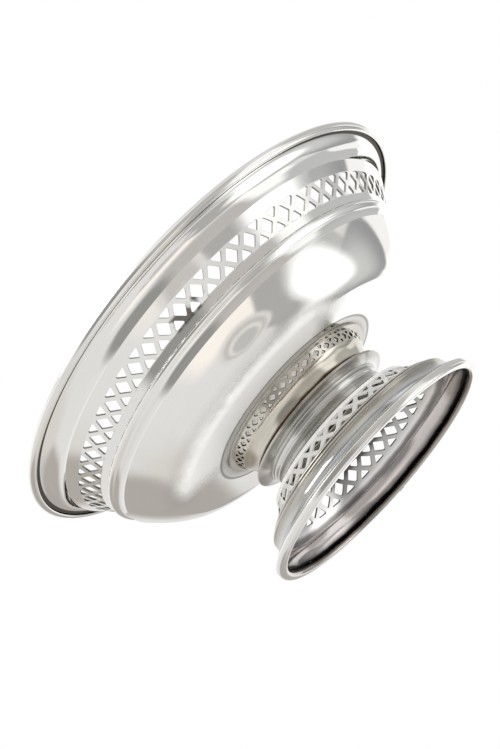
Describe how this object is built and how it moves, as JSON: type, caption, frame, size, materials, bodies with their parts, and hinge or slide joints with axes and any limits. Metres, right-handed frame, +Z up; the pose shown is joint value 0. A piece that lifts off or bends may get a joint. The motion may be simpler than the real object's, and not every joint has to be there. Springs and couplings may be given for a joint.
{
  "type": "bonbon dish",
  "caption": "Footed bonbon dish in silver: a spun bowl with a pierced lattice gallery and wired rim, on a pierced collar and spreading foot.",
  "frame": {"origin": "on the surface the dish stands on, under the centre of its foot", "axes": "+Z up along the dish's axis of revolution; X and Y are alike"},
  "size_m": [0.1256, 0.1256, 0.057],
  "materials": {
    "polished_silver": "polished, with fine wiping scratches and a little tarnish in the creases",
    "silver_solder": "dull, slightly tarnished"
  },
  "bodies": {
    "root": {"bowl": "polished_silver", "bowl_rim_wire": "polished_silver", "pierced_collar": "polished_silver", "foot": "polished_silver", "foot_rim_wire": "polished_silver", "rim_wire_solder": "silver_solder", "collar_top_solder": "silver_solder", "collar_foot_solder": "silver_solder", "foot_wire_solder": "silver_solder"}
  },
  "joints": []
}
